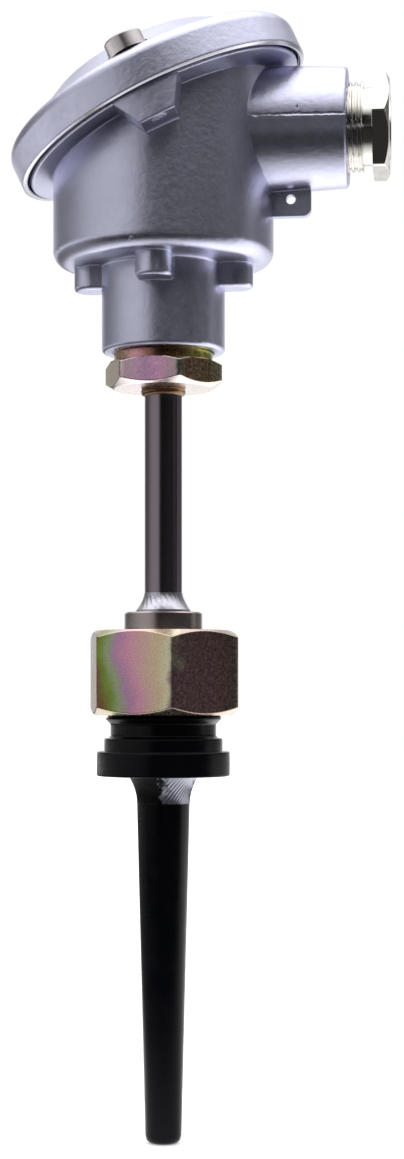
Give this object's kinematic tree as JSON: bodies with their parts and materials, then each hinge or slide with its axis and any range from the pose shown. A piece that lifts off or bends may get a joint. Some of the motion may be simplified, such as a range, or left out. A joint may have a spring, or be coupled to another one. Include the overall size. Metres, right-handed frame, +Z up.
{
  "type": "rtd probe with head",
  "caption": "Resistance thermometer with a tapered weld-in thermowell, neck tube with union nut, and a cast connection head with tilted screwed lid and cable gland.",
  "frame": {"origin": "centre of the lower face of the thermowell's collar, which seats on the process wall", "axes": "+Z up the probe to the head, -Z down the thermowell's stem, +X along the cable entry, -Y the front"},
  "size_m": [0.0967, 0.0792, 0.2861],
  "materials": {
    "black_steel": "satin",
    "weld_steel": "satin",
    "zinc_yellow_steel": "satin",
    "stainless_steel": "brushed",
    "cast_aluminium": "blasted",
    "nickel_brass": "plated",
    "plain_brass": "satin",
    "black_rubber": "matte",
    "zinc_screw_steel": "satin",
    "spring_steel": "satin",
    "white_ceramic": "glazed",
    "magnesia": "matte",
    "lead_insulation": "matte"
  },
  "bodies": {
    "well": {"well_collar": "black_steel", "well_stem": "black_steel", "well_weld": "black_steel"},
    "probe": {"cone_nipple": "stainless_steel", "nipple_seal_ring": "black_rubber", "nipple_weld": "weld_steel", "neck_tube": "stainless_steel", "adapter_weld": "weld_steel", "neck_adapter": "zinc_yellow_steel", "head_housing": "cast_aluminium", "lid_gasket": "black_rubber", "gland_inner_washer": "nickel_brass", "gland_seal_ring": "black_rubber", "insert_screw_front": "zinc_screw_steel", "insert_screw_rear": "zinc_screw_steel", "insert_spring_front": "spring_steel", "insert_spring_rear": "spring_steel"},
    "union_nut": {"union_nut": "zinc_yellow_steel"},
    "insert": {"insert_plate": "stainless_steel", "insert_sleeve": "stainless_steel", "insert_sheath": "stainless_steel", "insert_core": "magnesia", "rtd_element": "white_ceramic", "terminal_block": "white_ceramic", "terminal_clamps": "plain_brass", "terminal_screws": "zinc_screw_steel", "insert_leads": "lead_insulation"},
    "lid": {"head_lid": "cast_aluminium"},
    "lid_washer_front": {"lid_washer_front": "zinc_screw_steel"},
    "lid_screw_front": {"lid_screw_front": "zinc_screw_steel"},
    "lid_washer_rear": {"lid_washer_rear": "zinc_screw_steel"},
    "lid_screw_rear": {"lid_screw_rear": "zinc_screw_steel"},
    "gland_thrust_washer": {"gland_thrust_washer": "nickel_brass"},
    "gland_pressure_screw": {"gland_pressure_screw": "nickel_brass"}
  },
  "joints": [
    {"name": "probe_lift", "type": "slide", "parent": "well", "child": "probe", "axis": [0, 0, 1], "range_m": [0, 0.13]},
    {"name": "union_nut_turn", "type": "hinge", "parent": "probe", "child": "union_nut", "pos_m": [0, 0, 0.0264], "axis": [0, 0, 1], "continuous": true},
    {"name": "insert_rise", "type": "slide", "parent": "probe", "child": "insert", "axis": [0, 0, 1], "range_m": [0, 0.005], "stiffness_N_per_m": 4000, "springref_m": -0.004, "deforming": ["insert_spring_front", "insert_spring_rear"]},
    {"name": "lid_lift", "type": "slide", "parent": "probe", "child": "lid", "axis": [-0.4226, 0, 0.9063], "range_m": [0, 0.05]},
    {"name": "lid_screw_front_travel", "type": "slide", "parent": "lid", "child": "lid_washer_front", "axis": [-0.4226, 0, 0.9063], "range_m": [0, 0.008]},
    {"name": "lid_screw_front_turn", "type": "hinge", "parent": "lid_washer_front", "child": "lid_screw_front", "pos_m": [0, -0.033, 0.1672], "axis": [-0.4226, 0, 0.9063], "range_deg": [0, 2916]},
    {"name": "lid_screw_rear_travel", "type": "slide", "parent": "lid", "child": "lid_washer_rear", "axis": [-0.4226, 0, 0.9063], "range_m": [0, 0.008]},
    {"name": "lid_screw_rear_turn", "type": "hinge", "parent": "lid_washer_rear", "child": "lid_screw_rear", "pos_m": [0, 0.033, 0.1672], "axis": [-0.4226, 0, 0.9063], "range_deg": [0, 2916]},
    {"name": "gland_travel", "type": "slide", "parent": "probe", "child": "gland_thrust_washer", "axis": [-1, 0, 0], "range_m": [-0.00423, 0.00282]},
    {"name": "gland_turn", "type": "hinge", "parent": "gland_thrust_washer", "child": "gland_pressure_screw", "pos_m": [0.0505, 0, 0.16455], "axis": [-1, 0, 0], "range_deg": [-1100, 740]}
  ],
  "couplings": [
    {"joint": "lid_screw_front_turn", "follows": "lid_screw_front_travel", "rad_per_m": 6283.2},
    {"joint": "lid_screw_rear_turn", "follows": "lid_screw_rear_travel", "rad_per_m": 6283.2},
    {"joint": "gland_turn", "follows": "gland_travel", "rad_per_m": 4453}
  ]
}
